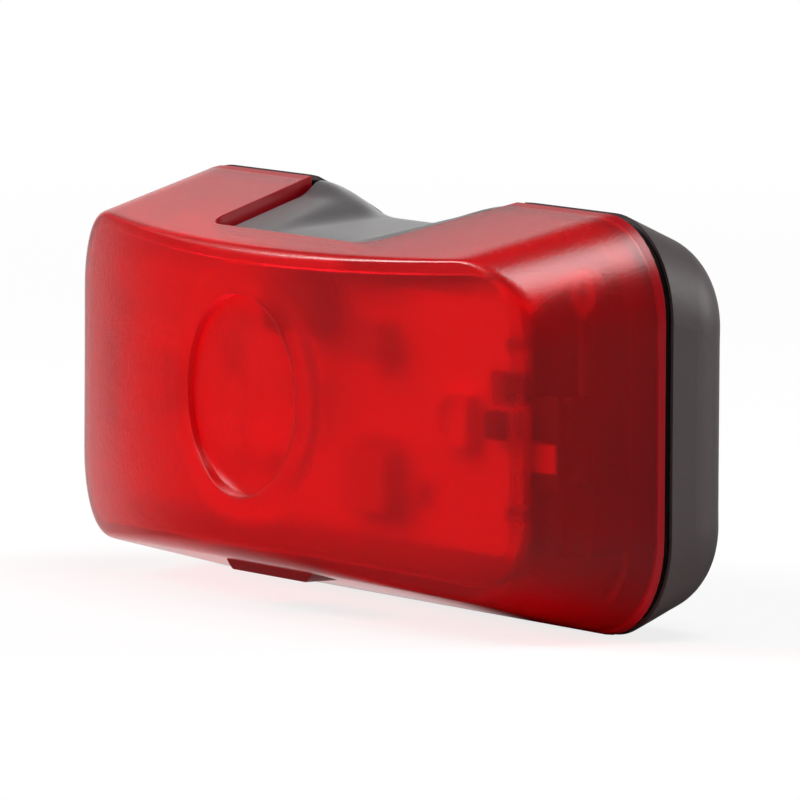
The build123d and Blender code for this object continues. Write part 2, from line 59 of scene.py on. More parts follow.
# %% Photograph's camera
azimuth = radians(57.33)
elevation = radians(5.57)
roll = radians(0.29)
distance = 734.3 * MM
target = Vector((0, -9.8 * MM, 0))

back = Vector((sin(azimuth) * cos(elevation), -cos(azimuth) * cos(elevation), sin(elevation)))
right = Vector((cos(azimuth), sin(azimuth), 0))
up = back.cross(right)
rolled_right = right * cos(roll) + up * sin(roll)
rolled_up = up * cos(roll) - right * sin(roll)

camera_data = bpy.data.cameras.new("photo_camera")
camera_data.sensor_width = 36
camera_data.lens = 506.1
camera_data.shift_x = 39.4 / 800
camera_data.shift_y = -2.9 / 800
camera_data.clip_start = 0.01
camera_data.clip_end = 50
camera = bpy.data.objects.new("photo_camera", camera_data)
bpy.context.scene.collection.objects.link(camera)
turn = Matrix((rolled_right, rolled_up, back)).transposed().to_4x4()
camera.matrix_world = Matrix.Translation(target + back * distance) @ turn
bpy.context.scene.camera = camera
print("camera at", [round(c, 3) for c in camera.location])

# %% [markdown]
# ## Small tools
#
# A mesh is made from points in millimetres and lists of corner numbers. A finish is a Principled shader
# whose colour, roughness and bump each get a little noise, since no moulded surface is perfectly even. The
# noise works in object coordinates, so its grain keeps its real size on every piece.


# %% Mesh and finish helpers
def make_piece(name, points, faces, body, smooth_angle=35, second=()):
    """Mesh object from points in millimetres, smooth up to an angle. Faces in second take material 2."""
    mesh = bpy.data.meshes.new(name)
    mesh.from_pydata([Vector(p) * MM for p in points], [], faces)
    for number in second:
        mesh.polygons[number].material_index = 1
    builder = bmesh.new()
    builder.from_mesh(mesh)
    bmesh.ops.remove_doubles(builder, verts=builder.verts, dist=1e-6)
    bmesh.ops.recalc_face_normals(builder, faces=builder.faces)
    builder.to_mesh(mesh)
    builder.free()
    mesh.shade_smooth()
    mesh.set_sharp_from_angle(angle=radians(smooth_angle))
    piece = bpy.data.objects.new(name, mesh)
    bpy.context.scene.collection.objects.link(piece)
    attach(piece, body)
    print(name, len(mesh.polygons), "faces")
    return piece


def add_node(tree, kind, **values):
    """Shader node with its named inputs and settings filled in."""
    node = tree.nodes.new(kind)
    for key, value in values.items():
        if key in node.inputs:
            node.inputs[key].default_value = value
        else:
            setattr(node, key, value)
    return node


def finish(name, colour, roughness, grain_mm=0.3, bump_mm=0.01, mottle=0.06, wear=0.04, **sockets):
    """Principled material with noise in its colour (mottle), its roughness (wear) and its bump (grain)."""
    material = bpy.data.materials.new(name)
    material.use_nodes = True
    tree = material.node_tree
    shader = tree.nodes["Principled BSDF"]
    place = add_node(tree, "ShaderNodeTexCoord")
    fine = add_node(tree, "ShaderNodeTexNoise", Scale=1000 / grain_mm, Detail=3.0)
    broad = add_node(tree, "ShaderNodeTexNoise", Scale=1000 / 9.0, Detail=4.0)
    tint = add_node(tree, "ShaderNodeMix", data_type="RGBA")
    tint.inputs["A"].default_value = (*[c * (1 - mottle) for c in colour], 1)
    tint.inputs["B"].default_value = (*[min(1, c * (1 + mottle)) for c in colour], 1)
    spread = add_node(tree, "ShaderNodeMapRange")
    spread.inputs["To Min"].default_value = max(0.02, roughness - wear)
    spread.inputs["To Max"].default_value = min(1, roughness + wear)
    bump = add_node(tree, "ShaderNodeBump", Strength=0.6, Distance=bump_mm * MM)
    for noise in (fine, broad):
        tree.links.new(place.outputs["Object"], noise.inputs["Vector"])
    tree.links.new(broad.outputs["Fac"], tint.inputs["Factor"])
    tree.links.new(tint.outputs["Result"], shader.inputs["Base Color"])
    tree.links.new(broad.outputs["Fac"], spread.inputs["Value"])
    tree.links.new(spread.outputs["Result"], shader.inputs["Roughness"])
    tree.links.new(fine.outputs["Fac"], bump.inputs["Height"])
    tree.links.new(bump.outputs["Normal"], shader.inputs["Normal"])
    for socket, value in sockets.items():
        shader.inputs[socket.replace("_", " ")].default_value = value
    return material


def dress(material, *names):
    """Give a material to CAD nodes, in place of what they came with."""
    for name in names:
        mesh = nodes[name].data
        mesh.materials.clear()
        mesh.materials.append(material)


# %% [markdown]
# ## Lens
#
# The lens is one red moulding, 1.2 mm thick, frosted outside. Both of its skins are grids with the same
# columns round the outline: the columns beside the thumb notch follow its edge, so the notch is left out of
# the grid cleanly, with no boolean. From the seam the rows run forward along the leaning sides, round the
# front edge, and over the bulged front to the dish near its middle. Where the skins end, two more rows turn
# their edges over.

# %% Lens sizes, in millimetres, with depth counted from the seam and negative towards the front
# DISH holds the dish's centre (x, z), its radius and its depth.
SEAM_Y = -5.8
LENS_DEPTH = 13.0
LENS_WALL = 1.2
HALF_WIDTH = 29.55
HALF_HEIGHT = 13.5
SIDE_SLOPE = tan(radians(15.1))
TOP_SLOPE = tan(radians(14.3))
BULGE = 92.0
EDGE_ROUND = 0.7
BOTTOM_ROUND = 1.6
END_ROUND = 2.4
CORNER_RADIUS = 6.6
CORNER_CHANGE = 1.4
DISH = (-0.84, 0.5, 6.6, 0.78)
DISH_DOME = 0.4
BOSS_RADIUS = 7.9
BOSS_STEP = 0.16
NOTCH_HALF = 12.4
NOTCH_SLOPE = 2.7 / 9.8
NOTCH_LENGTH = 9.8
NOTCH_CORNER = 2.2
NOTCH_ARC_STEPS = 6
FRONT_HALF = 8.6
ARC_STEPS = 8
FRONT_STEPS = 12
SOFT = 0.06


# %% Outline at any depth
def outline_sizes(depth, inset):
    """Half width, half height and corner radius of the lens at a depth."""
    corner = CORNER_RADIUS + CORNER_CHANGE * depth / 14.0
    return (
        HALF_WIDTH + depth * SIDE_SLOPE - inset,
        HALF_HEIGHT + depth * TOP_SLOPE - inset,
        corner - inset,
    )


def front_depth(x, inset):
    """Depth of the bulged front over x."""
    return -LENS_DEPTH + BULGE - sqrt((BULGE - inset) ** 2 - x * x)


def notch_edge(rows, grow):
    """Points (x, depth) along the notch's right edge, from the seam to its front, grown outwards."""
    lean = hypot(1, NOTCH_SLOPE)
    side_normal = (1 / lean, -NOTCH_SLOPE / lean)
    centre_depth = -NOTCH_LENGTH + NOTCH_CORNER
    centre_x = NOTCH_HALF + centre_depth * NOTCH_SLOPE - NOTCH_CORNER * lean
    start = atan2(side_normal[1], side_normal[0])
    points = [(NOTCH_HALF - grow * NOTCH_SLOPE + grow * lean, -grow)]
    for depth in rows[1:]:
        points.append((NOTCH_HALF + depth * NOTCH_SLOPE + grow * lean, depth))
    for step in range(NOTCH_ARC_STEPS + 1):
        angle = start + (-pi / 2 - start) * step / NOTCH_ARC_STEPS
        reach = NOTCH_CORNER + grow
        points.append((centre_x + reach * cos(angle), centre_depth + reach * sin(angle)))
    return points


SIDE_ROWS = [0, -0.75, -1.9, -3.1, -4.3, -5.5, -6.6, -7.5]
edge_rows = notch_edge(SIDE_ROWS, 0)
LAST_NOTCH_ROW = len(edge_rows) - 1
ROW_COUNT = LAST_NOTCH_ROW + 4

# %% Columns round the outline
columns = []
for step in range(24):
    columns.append(("notch", -1 + 2 * step / 24))
for step in range(14):
    columns.append(("top_right", step / 14))
for step in range(12):
    columns.append(("corner", (1, 1, pi / 2 - pi / 2 * step / 12)))
for step in range(16):
    columns.append(("right", 1 - 2 * step / 16))
for step in range(12):
    columns.append(("corner", (1, -1, -pi / 2 * step / 12)))
for step in range(48):
    columns.append(("bottom", 1 - 2 * step / 48))
for step in range(12):
    columns.append(("corner", (-1, -1, -pi / 2 - pi / 2 * step / 12)))
for step in range(16):
    columns.append(("left", -1 + 2 * step / 16))
for step in range(12):
    columns.append(("corner", (-1, 1, pi - pi / 2 * step / 12)))
for step in range(14):
    columns.append(("top_left", 1 - step / 14))
RIGHT_EDGE = 24
print("columns", len(columns), "rows", ROW_COUNT)


def column_place(column, depth, inset, edge_x):
    """(x, z) of a column at a depth. edge_x is the notch's half width there."""
    kind, where = column
    half, height, corner = outline_sizes(depth, inset)
    if kind == "notch":
        return where * edge_x, height
    if kind == "top_right":
        return edge_x + where * (half - corner - edge_x), height
    if kind == "top_left":
        return -edge_x - where * (half - corner - edge_x), height
    if kind == "corner":
        side, level, angle = where
        return side * (half - corner) + corner * cos(angle), level * (height - corner) + corner * sin(angle)
    if kind == "right":
        return half, where * (height - corner)
    if kind == "left":
        return -half, where * (height - corner)
    return where * (half - corner), -height


# %% Front edge of each column, rounded between the side and the front
def front_corner(column, inset):
    """Where a column's side line meets the front surface, as (x, depth, z)."""
    depth = -LENS_DEPTH + 1
    for _ in range(30):
        x, z = column_place(column, depth, inset, FRONT_HALF)
        depth = front_depth(x, inset)
    return Vector((x, depth, z))


def edge_radius(column, inset):
    """Radius of a column's front edge: small along the top, larger along the bottom and the two ends."""
    kind, where = column
    share = {"right": 1, "left": 1}.get(kind, 0)
    level = BOTTOM_ROUND if kind == "bottom" else EDGE_ROUND
    if kind == "corner":
        share = abs(cos(where[2])) ** 2
        level = BOTTOM_ROUND if where[1] < 0 else EDGE_ROUND
    radius = level + (END_ROUND - level) * share
    return max(0.4, radius - inset)


def edge_arc(column, inset):
    """Points of the rounded front edge of a column, from its side to its front."""
    radius = edge_radius(column, inset)
    tip = front_corner(column, inset)
    x, z = column_place(column, tip.y + 1, inset, FRONT_HALF)
    side = (Vector((x, tip.y + 1, z)) - tip).normalized()
    inward = Vector((-tip.x, 0, -tip.z + DISH[1])).normalized()
    ahead = tip + inward * 0.5
    ahead.y = front_depth(ahead.x, inset)
    inward = (ahead - tip).normalized()
    half_angle = side.angle(inward) / 2
    reach = radius / tan(half_angle)
    centre = tip + (side + inward).normalized() * radius / sin(half_angle)
    first = tip + side * reach - centre
    last = tip + inward * reach - centre
    swing = first.angle(last)
    points = []
    for step in range(ARC_STEPS + 1):
        share = step / ARC_STEPS
        arm = (first * sin((1 - share) * swing) + last * sin(share * swing)) / sin(swing)
        points.append(centre + arm)
    return points


# %% [markdown]
# ### One skin
#
# A skin is made column by column. Each column gives the same number of rows: side rows, the rounded edge,
# the front up to the dish (or, inside, up to the boss behind the dish), the step, and the middle, which is
# domed outside and flat inside.


# %% Rows of one column
def skin_column(number, inset, edge_points):
    """All points (x, depth, z) of one column of a skin."""
    column = columns[number]
    kind = column[0]
    arc = edge_arc(column, inset)
    reference = edge_arc(columns[RIGHT_EDGE], inset)[0].y
    scale = arc[0].y / reference
    points = []
    for row in range(ROW_COUNT):
        if row <= LAST_NOTCH_ROW:
            edge_x, depth = edge_points[row]
        else:
            share = (row - LAST_NOTCH_ROW) / (ROW_COUNT - LAST_NOTCH_ROW)
            edge_x, depth = edge_points[-1]
            edge_x = edge_x + (FRONT_HALF - edge_x) * share
            depth = depth + (reference - depth) * share
        if kind != "notch" and row > 0:
            depth = depth * scale
        if kind == "notch" and row > LAST_NOTCH_ROW:
            share = (row - LAST_NOTCH_ROW) / (ROW_COUNT - LAST_NOTCH_ROW)
            depth = edge_points[-1][1] + (arc[0].y - edge_points[-1][1]) * share
        x, z = column_place(column, depth, inset, edge_x)
        points.append(Vector((x, depth, z)))
    points += arc
    centre_x, centre_z, radius, dish_depth = DISH
    start = arc[-1]
    angle = atan2(start.z - centre_z, start.x - centre_x)
    direction = Vector((cos(angle), 0, sin(angle)))
    floor = -LENS_DEPTH + dish_depth
    ring = radius + 0.14 if inset == 0 else BOSS_RADIUS + 1.0
    goal = Vector((centre_x, 0, centre_z)) + direction * ring
    for step in range(1, FRONT_STEPS + 1):
        share = step / FRONT_STEPS
        point = start + (goal - start) * share
        point.y = front_depth(point.x, inset)
        points.append(point)
    surface = front_depth(goal.x, inset)
    if inset == 0:
        steps = ((radius + 0.04, surface + 0.04), (radius, surface + 0.14), (radius, floor - 0.12))
        steps += ((radius - 0.03, floor - 0.03), (radius - 0.12, floor))
        steps += ((4.4, floor - 0.56 * DISH_DOME), (2.2, floor - 0.89 * DISH_DOME))
    else:
        shares = ((0.6, 0.1), (0.2, 0.35), (-0.2, 0.65), (-0.6, 0.9), (-1.0, 1.0))
        steps = [(BOSS_RADIUS + out, surface + BOSS_STEP * share) for out, share in shares]
        steps += [(5.4, surface + BOSS_STEP), (2.7, surface + BOSS_STEP)]
    for reach, depth in steps:
        place = Vector((centre_x, 0, centre_z)) + direction * reach
        place.y = depth
        points.append(place)
    return points


def skin_points(inset, grow):
    """Grid of a whole skin: one list of points per column."""
    edge_points = notch_edge(SIDE_ROWS, grow)
    return [skin_column(number, inset, edge_points) for number in range(len(columns))]


# %% Join the skins
def lens_mesh():
    """Points and faces of the closed lens, with the faces of the rim and the notch's wall marked."""
    outer = skin_points(0, SOFT)
    inner = skin_points(LENS_WALL, SOFT)
    turned_out = skin_points(SOFT, 0)
    turned_in = skin_points(LENS_WALL - SOFT, 0)
    points = []
    faces = []
    edge_faces = set()
    count = len(columns)

    def put(point):
        points.append((point.x, SEAM_Y + point.y, point.z))
        return len(points) - 1

    grids = []
    for skin in (outer, inner):
        grid = [[put(point) for point in column] for column in skin]
        rows = len(grid[0])
        dome = 0.11 * DISH_DOME if skin is outer else 0
        middle = put(Vector((DISH[0], skin[0][-1].y - dome, DISH[1])))
        for c in range(count):
            n = (c + 1) % count
            for row in range(rows - 1):
                if columns[c][0] == "notch" and row < LAST_NOTCH_ROW:
                    continue
                if row == 0 and skin is outer:
                    edge_faces.add(len(faces))
                faces.append((grid[c][row], grid[n][row], grid[n][row + 1], grid[c][row + 1]))
            faces.append((grid[c][-1], grid[n][-1], middle))
        grids.append(grid)

    path = [(c % count, 0) for c in range(RIGHT_EDGE, count + 1)]
    path += [(0, row) for row in range(1, LAST_NOTCH_ROW + 1)]
    path += [(c, LAST_NOTCH_ROW) for c in range(1, RIGHT_EDGE + 1)]
    path += [(RIGHT_EDGE, row) for row in range(LAST_NOTCH_ROW - 1, 0, -1)]
    loops = [[grids[0][c][row] for c, row in path]]
    for skin in (turned_out, turned_in):
        loops.append([put(skin[c][row]) for c, row in path])
    loops.append([grids[1][c][row] for c, row in path])
    for near, far in zip(loops, loops[1:]):
        for i in range(len(path)):
            n = (i + 1) % len(path)
            edge_faces.add(len(faces))
            faces.append((near[i], near[n], far[n], far[i]))
    return points, faces, edge_faces


lens_points, lens_faces, lens_edge_faces = lens_mesh()
lens = make_piece("lens_moulding", lens_points, lens_faces, "lens", 30, lens_edge_faces)
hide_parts("lens")

# %% [markdown]
# ### Lens material
#
# Clear red plastic with a frosted outside lets blurred light through, so the shader is mostly rough
# transmission with a share of plain red diffuse for the haze in the plastic. The frost itself is a rough
# coat with a bump of its own, which breaks a lamp's reflection into a broad grainy glint and leaves the
# plastic under it clear. Cycles doesn't follow a lamp's light through glass, so rays from lamps meet a
# tinted transparent shader in its place, and the white board behind the lens is lit. The light that the
# cut edges of the moulding would gather from its whole wall is painted on them as a plain, full red glow.


# %% Red lens finish
def let_lamps_through(material, tint):
    """Put a tinted transparent shader in the material's place for rays from lamps."""
    tree = material.node_tree
    rays = add_node(tree, "ShaderNodeLightPath")
    clear = add_node(tree, "ShaderNodeBsdfTransparent", Color=(*tint, 1))
    choose = add_node(tree, "ShaderNodeMixShader")
    tree.links.new(rays.outputs["Is Shadow Ray"], choose.inputs["Fac"])
    tree.links.new(tree.nodes["Principled BSDF"].outputs["BSDF"], choose.inputs[1])
    tree.links.new(clear.outputs["BSDF"], choose.inputs[2])
    tree.links.new(choose.outputs["Shader"], tree.nodes["Material Output"].inputs["Surface"])


SPARK_MM = 0.16
SPARK_BUMP_MM = 0.04
red = finish(
    "red_frosted_lens", (0.92, 0.003, 0.012), 0.2, grain_mm=0.2, bump_mm=0.035, mottle=0.03, wear=0.02,
    Transmission_Weight=0.82, IOR=1.49, Specular_IOR_Level=0.25,
    Coat_Weight=0.4, Coat_Roughness=0.36, Coat_IOR=1.49,
)
let_lamps_through(red, (0.95, 0.12, 0.16))
red_tree = red.node_tree
red_place = add_node(red_tree, "ShaderNodeTexCoord")
red_sparks = add_node(red_tree, "ShaderNodeTexNoise", Scale=1000 / SPARK_MM, Detail=1.0)
red_coat = add_node(red_tree, "ShaderNodeBump", Strength=1.0, Distance=SPARK_BUMP_MM * MM)
red_tree.links.new(red_place.outputs["Object"], red_sparks.inputs["Vector"])
red_tree.links.new(red_sparks.outputs["Fac"], red_coat.inputs["Height"])
red_tree.links.new(red_coat.outputs["Normal"], red_tree.nodes["Principled BSDF"].inputs["Coat Normal"])
# The rim and the notch's wall get this plain opaque red: a painted glow in place of the light the cut edges
# gather from the wall.
red_edge_painted_glow = finish("red_lens_edge_painted_glow", (0.4, 0.002, 0.008), 0.3, grain_mm=0.16, bump_mm=0.01, IOR=1.49)
lens.data.materials.append(red)
lens.data.materials.append(red_edge_painted_glow)

# %% [markdown]
# ## Lip under the front edge
#
# A fingernail goes behind this small lip to pull the lens off. It is part of the moulding and starts inside
# the lens's wall. Its dark red is partly the deeper red of thick plastic and partly painted shade under the
# front edge.

# %% Fingernail lip
lip_front = -11.0
lip_rear = -8.45
lip_bottom = -11.33
root_z = -(HALF_HEIGHT + lip_front * TOP_SLOPE) + 0.35
lip_points = []
for depth in (lip_front, lip_rear):
    for half, z in ((5.5, root_z), (5.0, -10.95), (4.6, lip_bottom + 0.08), (4.4, lip_bottom)):
        lip_points.append((half, SEAM_Y + depth, z))
        lip_points.append((-half, SEAM_Y + depth, z))
lip_faces = []
for k in range(0, 6, 2):
    lip_faces.append((k, k + 1, k + 3, k + 2))
    lip_faces.append((8 + k, 8 + k + 1, 8 + k + 3, 8 + k + 2))
    lip_faces.append((k, k + 2, 8 + k + 2, 8 + k))
    lip_faces.append((k + 1, k + 3, 8 + k + 3, 8 + k + 1))
lip_faces.append((6, 7, 15, 14))
lip_faces.append((0, 1, 9, 8))
lip = make_piece("lens_lip", lip_points, lip_faces, "lens", 30)
# Dark red: partly thick plastic, partly painted shade for the shade under the lens's front edge.
lip.data.materials.append(
    finish("red_lip", (0.16, 0.002, 0.004), 0.4, grain_mm=0.2, bump_mm=0.01, Transmission_Weight=0.1)
)

# %% [markdown]
# ## Thumb pad
#
# The pad is one soft moulding that fills the lens's notch and runs back over the case. A thumb finds it by
# its scoop: a trough along the pad that is deepest at the seam's middle and widens over the case. Its top
# is a height field, the lower of two smooth surfaces: the roof that follows the lens and the case, and the
# scoop. A height field keeps the soft shoulders round, which flat CAD faces can't do.

# %% Pad sizes, in millimetres
PAD_FRONT = -15.3
PAD_TAIL = -2.4
CASE_FRONT = -5.25
PAD_GAP = 0.3
PAD_FLOOR = 10.35
PAD_EDGE_ROUND = 0.22
ROOF_EASE = 0.5
SCOOP_EASE = 0.9
SCOOP_BLEND = 0.3
EASE_SAMPLES = 4
PEG_RADIUS = 0.9
PEG_Y = -13.85
PEG_SIDES = 24
BEVEL_SLOPE = tan(radians(26))
BACK_ROOF = HALF_HEIGHT + CASE_FRONT * BEVEL_SLOPE
ROOF = ((PAD_FRONT, 10.208), (-6.8, 12.375), (CASE_FRONT, HALF_HEIGHT), (0.0, BACK_ROOF))
UNDERSIDE = ((PAD_FRONT, 9.258), (-9.8, PAD_FLOOR), (PAD_TAIL, PAD_FLOOR))
# Stations of SCOOP: y, then half width, half width of the floor, floor's height and depth.
SCOOP = (
    (-19.8, 13.8, 3.7, 11.35 - 14.55 * tan(radians(4.3)), 2.15),
    (CASE_FRONT, 13.8, 3.7, 11.35, 2.15),
    (0.0, 13.45, 11.8, BACK_ROOF - 0.42, 0.42),
)


# %% Pad surfaces
def along(stations, y):
    """Values between stations, which start with their y, in a straight line."""
    for near, far in zip(stations, stations[1:]):
        if y <= far[0]:
            break
    share = (y - near[0]) / (far[0] - near[0])
    return [a + (b - a) * share for a, b in zip(near[1:], far[1:])]


ease_shares = [(k - EASE_SAMPLES) / EASE_SAMPLES for k in range(2 * EASE_SAMPLES + 1)]


def roof_height(y):
    """Roof of the pad, with its two bends eased over a millimetre."""
    samples = [along(ROOF, max(PAD_FRONT, y + ROOF_EASE * share))[0] for share in ease_shares]
    return sum(samples) / len(samples)


def scoop_height(x, y):
    """Scoop's surface: a flat floor and a flank of two arcs on each side."""
    half, floor_half, floor, depth = along(SCOOP, y)
    run = half - floor_half
    radius = (run * run + depth * depth) / (2 * depth)
    low = 0.2 * radius
    high = radius - low
    side = abs(x)
    if side <= floor_half:
        return floor
    if side <= floor_half + low * run / radius:
        return floor + low - sqrt(low * low - (side - floor_half) ** 2)
    if side <= half:
        return floor + depth - high + sqrt(high * high - (half - side) ** 2)
    return floor + depth + (side - half) * 0.5


def pad_top(x, y):
    """Lower of roof and scoop, blended where they cross, with the scoop's bend at the seam eased."""
    roof = roof_height(y)
    scoop = sum(scoop_height(x, y + SCOOP_EASE * share) for share in ease_shares) / len(ease_shares)
    near = max(SCOOP_BLEND - abs(roof - scoop), 0) / SCOOP_BLEND
    return min(roof, scoop) - near * near * SCOOP_BLEND / 4


def pad_half(y):
    """Half width of the pad, with its round front corners."""
    front_half = NOTCH_HALF - NOTCH_LENGTH * NOTCH_SLOPE - PAD_GAP
    half = min(NOTCH_HALF - PAD_GAP, front_half + (y - PAD_FRONT) * NOTCH_SLOPE)
    corner = NOTCH_CORNER - PAD_GAP
    into = y - PAD_FRONT
    if into < corner:
        half -= corner - sqrt(corner * corner - (corner - into) ** 2)
    return half


# %% Pad mesh
pad_rows = [PAD_FRONT + v for v in (0.0, 0.02, 0.08, 0.18, 0.32, 0.5, 0.75, 1.05, 1.4, 1.85)]
pad_rows += [PAD_FRONT + 2.3 + 10.3 * k / 34 for k in range(35)]
pad_rows += [PAD_TAIL - v for v in (0.22, 0.14, 0.07, 0.02, 0.0)]
pad_shares = [-1 + 2 * k / 56 for k in range(57)]
pad_edge = [0.999, 0.992, 0.98]
pad_shares = sorted(pad_shares + pad_edge + [-v for v in pad_edge])


def eased_edge(reach):
    """Drop of the pad's top at a distance from its edge, for a round edge."""
    if reach >= PAD_EDGE_ROUND:
        return 0
    return PAD_EDGE_ROUND - sqrt(PAD_EDGE_ROUND * PAD_EDGE_ROUND - (PAD_EDGE_ROUND - reach) ** 2)


pad_points = []
pad_faces = []
across_count = len(pad_shares)
for layer in ("top", "underside"):
    for y in pad_rows:
        half = pad_half(y)
        for share in pad_shares:
            x = share * half
            reach = min((1 - abs(share)) * half, y - PAD_FRONT, PAD_TAIL - y)
            z = pad_top(x, y) - eased_edge(max(reach, 0)) if layer == "top" else along(UNDERSIDE, y)[0]
            pad_points.append((x, y, z))
layer_size = len(pad_rows) * across_count
for layer in (0, layer_size):
    for row in range(len(pad_rows) - 1):
        for k in range(across_count - 1):
            corner = layer + row * across_count + k
            pad_faces.append((corner, corner + 1, corner + across_count + 1, corner + across_count))
for row in (0, len(pad_rows) - 1):
    for k in range(across_count - 1):
        corner = row * across_count + k
        pad_faces.append((corner, corner + 1, corner + 1 + layer_size, corner + layer_size))
for k in (0, across_count - 1):
    for row in range(len(pad_rows) - 1):
        corner = row * across_count + k
        below = corner + layer_size
        pad_faces.append((corner, corner + across_count, below + across_count, below))

# %% Peg under the pad, which meets the switch
first = len(pad_points)
for z in (8.7, 9.75):
    for k in range(PEG_SIDES):
        angle = 2 * pi * k / PEG_SIDES
        pad_points.append((PEG_RADIUS * cos(angle), PEG_Y + PEG_RADIUS * sin(angle), z))
peg_top = first + PEG_SIDES
for k in range(PEG_SIDES):
    n = (k + 1) % PEG_SIDES
    pad_faces.append((first + k, first + n, peg_top + n, peg_top + k))
pad_faces.append(tuple(range(first, peg_top)))
pad_faces.append(tuple(range(peg_top, peg_top + PEG_SIDES)))
pad = make_piece("thumb_pad", pad_points, pad_faces, "pad", 50)
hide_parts("push_pad")

# %% [markdown]
# ## Case, pad and gasket finishes
#
# The case is dark grey plastic with a fine spark-eroded texture, the pad is rubber of nearly the same grey,
# and the gasket between the lens and the case is smooth and black, so it shows as a shiny dark line.

# %% Grey and black finishes
case_grey = finish("grey_case_plastic", (0.085, 0.068, 0.069), 0.5, grain_mm=0.22, bump_mm=0.02)
pad_grey = finish(
    "grey_pad_rubber", (0.085, 0.076, 0.08), 0.32, grain_mm=0.25, bump_mm=0.02,
    Sheen_Weight=0.5, Sheen_Roughness=0.35,
)
gasket_black = finish("black_gasket", (0.006, 0.004, 0.004), 0.18, grain_mm=2.0, bump_mm=0.01)
dress(case_grey, "rear_case", "clip_lever")
pad.data.materials.append(pad_grey)
dress(pad_grey, "grip_pad")
dress(gasket_black, "seal_gasket")

# %% [markdown]
# ## Board and electronics
#
# The board's solder mask is white, to send light forward. What stands on it is seen only as blurred patches
# through the lens, and as itself when the lens is pulled off.

# %% Inside finishes
dress(finish("white_board", (0.82, 0.8, 0.76), 0.45, grain_mm=0.5, bump_mm=0.005), "circuit_board")
dress(finish("led_resin", (0.86, 0.84, 0.6), 0.25, grain_mm=0.4), "led_left", "led_centre", "led_right")
dress(finish("black_epoxy", (0.02, 0.02, 0.022), 0.5), "edge_diode")
# The chip and resistors are painted a light grey that brightens out the shade on their raised sides, which
# would show through the lens as dark patches.
dress(finish("grey_epoxy_lightened_against_shade", (0.6, 0.6, 0.6), 0.5), "driver_chip", "resistors")
dress(finish("tan_ceramic", (0.42, 0.27, 0.13), 0.5), "capacitor")
dress(finish("switch_plastic", (0.16, 0.155, 0.15), 0.4), "switch_body")
dress(finish("plunger_plastic", (0.25, 0.12, 0.05), 0.4), "switch_plunger")
dress(finish("black_cradle_plastic", (0.02, 0.02, 0.021), 0.5), "battery_cradle")
dress(finish("cell_steel", (0.55, 0.56, 0.58), 0.3, Metallic=1.0), "cell_upper", "cell_lower")
dress(
    finish("plated_sheet", (0.5, 0.49, 0.46), 0.4, Metallic=1.0),
    "contact_plus", "contact_minus", "cradle_screws",
)

# %% Link between the cells, tinned where its tab is soldered to the board
TINNED_TO_Y = -11.5
DULL_FROM_Y = -11.2
link_plate = finish("plated_link", (0.84, 0.83, 0.8), 0.5, Metallic=0.2)
link_tree = link_plate.node_tree
link_place = add_node(link_tree, "ShaderNodeTexCoord")
link_split = add_node(link_tree, "ShaderNodeSeparateXYZ")
link_dull = add_node(link_tree, "ShaderNodeMapRange")
link_dull.inputs["From Min"].default_value = TINNED_TO_Y * MM
link_dull.inputs["From Max"].default_value = DULL_FROM_Y * MM
link_tint = add_node(link_tree, "ShaderNodeMix", data_type="RGBA")
link_tint.inputs["B"].default_value = (0.16, 0.155, 0.15, 1)
link_shader = link_tree.nodes["Principled BSDF"]
link_tree.links.new(link_place.outputs["Object"], link_split.inputs[0])
link_tree.links.new(link_split.outputs["Y"], link_dull.inputs["Value"])
link_tree.links.new(link_dull.outputs["Result"], link_tint.inputs["Factor"])
link_tree.links.new(link_shader.inputs["Base Color"].links[0].from_socket, link_tint.inputs["A"])
link_tree.links.new(link_tint.outputs["Result"], link_shader.inputs["Base Color"])
dress(link_plate, "contact_link")
bright_wire = finish("bright_wire", (0.62, 0.61, 0.6), 0.22, Metallic=1.0)
dress(bright_wire, "spring_upper", "spring_lower", "clip_pin")

# %% [markdown]
# ## Clip spring
#
# The spring is wound round the clip's pin. One straight end lies on the case's back and the other presses
# on the clip. It is made in two pieces, because rigid pieces can't twist: the coil stays with the case, and
# the end that presses on the clip turns with it. That end starts as a short arc inside the coil's last
# turn, so no gap opens.

# %% Clip spring's wire
PIN_Y = 2.3
PIN_Z = 5.6
SPRING_RADIUS = 1.95
SPRING_WIRE = 0.3
SPRING_END = 2.7
SPRING_HALF_LENGTH = 2.475
SPRING_LAST = 10 * pi
COIL_STEP = radians(12)
COIL_POINTS = 136
END_STEP = radians(5)
END_STEPS = 8


def spring_point(angle):
    """Point of the coil at an angle about the pin, counted from the clip's side."""
    x = SPRING_HALF_LENGTH * (2 * (angle - pi) / (SPRING_LAST - pi) - 1)
    return Vector((x, PIN_Y + SPRING_RADIUS * cos(angle), PIN_Z + SPRING_RADIUS * sin(angle)))


def wire_piece(name, path, radius, body):
    """Round wire along a path of points, closed at both ends."""
    sides = 12
    points = []
    faces = []
    for k, place in enumerate(path):
        ahead = (path[min(k + 1, len(path) - 1)] - path[max(k - 1, 0)]).normalized()
        out = (Vector((1, 0, 0)) - ahead * ahead.x).normalized()
        over = ahead.cross(out)
        for step in range(sides):
            angle = 2 * pi * step / sides
            points.append(place + (out * cos(angle) + over * sin(angle)) * radius)
    for k in range(len(path) - 1):
        for step in range(sides):
            n = (step + 1) % sides
            faces.append((k * sides + step, k * sides + n, (k + 1) * sides + n, (k + 1) * sides + step))
    faces.append(tuple(range(sides)))
    faces.append(tuple(range(len(points) - sides, len(points))))
    piece = make_piece(name, points, faces, body, 50)
    piece.data.materials.append(bright_wire)
    return piece


